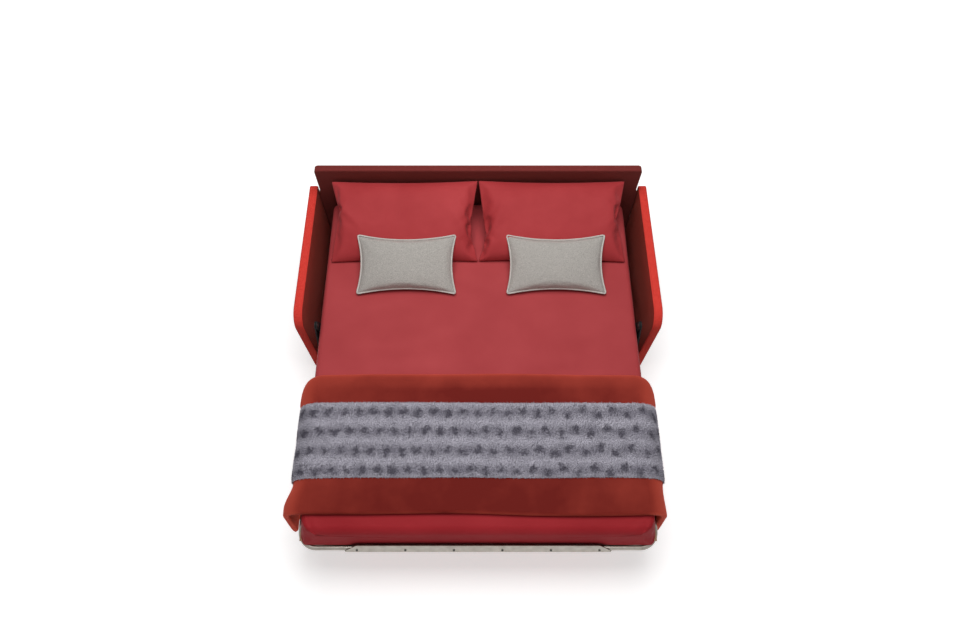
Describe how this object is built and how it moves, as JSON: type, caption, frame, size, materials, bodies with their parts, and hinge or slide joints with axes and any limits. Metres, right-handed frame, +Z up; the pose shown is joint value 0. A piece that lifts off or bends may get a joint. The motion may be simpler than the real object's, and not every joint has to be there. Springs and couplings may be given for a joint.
{
  "type": "sofa bed",
  "caption": "Double sofa bed shown open and made up, with slim padded arms and back panel and a fold-over slatted frame that closes into a sofa.",
  "frame": {"origin": "middle of the object's footprint on the floor, bed open", "axes": "+Z up, +X across the bed towards its right arm as seen from the foot, +Y towards the back panel"},
  "size_m": [1.838, 1.88, 0.76],
  "materials": {
    "upholstery_red": "wool-look upholstery weave",
    "plywood": "raw plywood",
    "steel_black": "black powder coat",
    "steel_bright": "bright nickel",
    "zinc": "zinc plate",
    "beech": "lacquered beech",
    "plastic_black": "moulded",
    "rubber": "matt",
    "sheet_red": "cotton sheet",
    "quilt_rust": "brushed velvet",
    "throw_grey": "plush",
    "cushion_grey": "fine weave"
  },
  "bodies": {
    "sofa_frame": {"arm_core_left": "plywood", "arm_core_right": "plywood", "arm_cover_left": "upholstery_red", "arm_cover_right": "upholstery_red", "back_core": "plywood", "back_cover": "upholstery_red", "side_plates": "steel_black", "cross_rails": "steel_black", "front_panel": "upholstery_red", "rail_glides": "plastic_black", "arm_glides": "plastic_black", "arm_bolts": "zinc", "back_bolts": "zinc", "swing_base_pins": "zinc"},
    "front_swing_arms": {"front_swing_arms": "steel_black"},
    "rear_swing_arms": {"rear_swing_arms": "steel_black"},
    "head_section": {"head_side_rails": "steel_black", "head_cross_rails": "steel_black", "head_slats": "beech", "head_plates": "steel_black", "swing_top_pins": "zinc", "mattress_head": "sheet_red"},
    "mid_section": {"mid_side_rails": "steel_black", "mid_cross_rails": "steel_black", "mid_slats": "beech", "mid_fold_plates": "steel_black", "mid_foot_plates": "steel_black", "head_fold_pins": "zinc", "mattress_mid": "sheet_red", "seat_board": "plywood", "seat_cushion_left": "upholstery_red", "seat_cushion_right": "upholstery_red", "quilt_mid": "quilt_rust"},
    "foot_section": {"foot_hoop": "steel_bright", "foot_plates": "steel_black", "foot_fold_pins": "zinc", "foot_cross_rail": "steel_black", "foot_spars": "steel_black", "leg_bearings": "plastic_black", "foot_slats": "beech", "mattress_stop": "steel_bright", "stop_bolts": "zinc", "backrest_board": "plywood", "back_cushion_left": "upholstery_red", "back_cushion_right": "upholstery_red", "mattress_foot": "sheet_red", "quilt_foot": "quilt_rust", "throw_blanket": "throw_grey"},
    "foot_legs": {"torsion_bar": "steel_bright", "leg_uprights": "steel_bright", "leg_feet": "rubber"},
    "pillow_set": {"pillow_left": "sheet_red", "pillow_right": "sheet_red", "accent_cushion_left": "cushion_grey", "accent_cushion_right": "cushion_grey"}
  },
  "joints": [
    {"name": "bed_fold", "type": "hinge", "parent": "head_section", "child": "mid_section", "pos_m": [0, 0.12, 0.525], "axis": [-1, 0, 0], "range_deg": [0, 180]},
    {"name": "foot_fold", "type": "hinge", "parent": "mid_section", "child": "foot_section", "pos_m": [0, -0.45, 0.3495], "axis": [-1, 0, 0], "range_deg": [-90, 0]},
    {"name": "leg_fold", "type": "hinge", "parent": "foot_section", "child": "foot_legs", "pos_m": [0, -0.55, 0.3465], "axis": [-1, 0, 0], "range_deg": [0, 90]},
    {"name": "front_swing", "type": "hinge", "parent": "sofa_frame", "child": "front_swing_arms", "pos_m": [0, 0.45481, 0.1995], "axis": [-1, 0, 0], "range_deg": [-60, 0]},
    {"name": "head_level", "type": "hinge", "parent": "front_swing_arms", "child": "head_section", "pos_m": [0, 0.195, 0.3495], "axis": [-1, 0, 0], "range_deg": [0, 60]},
    {"name": "rear_swing", "type": "hinge", "parent": "sofa_frame", "child": "rear_swing_arms", "pos_m": [0, 0.79981, 0.1995], "axis": [-1, 0, 0], "range_deg": [-60, 0]},
    {"name": "pillow_lift", "type": "slide", "parent": "sofa_frame", "child": "pillow_set", "axis": [0, 0, 1], "range_m": [0, 1.2]}
  ],
  "couplings": [
    {"joint": "foot_fold", "follows": "bed_fold", "ratio": -0.5},
    {"joint": "leg_fold", "follows": "bed_fold", "ratio": 0.5},
    {"joint": "front_swing", "follows": "bed_fold", "ratio": -0.33333},
    {"joint": "head_level", "follows": "bed_fold", "ratio": 0.33333},
    {"joint": "rear_swing", "follows": "bed_fold", "ratio": -0.33333},
    {"joint": "pillow_lift", "follows": "bed_fold", "m_per_rad": 0.38}
  ]
}
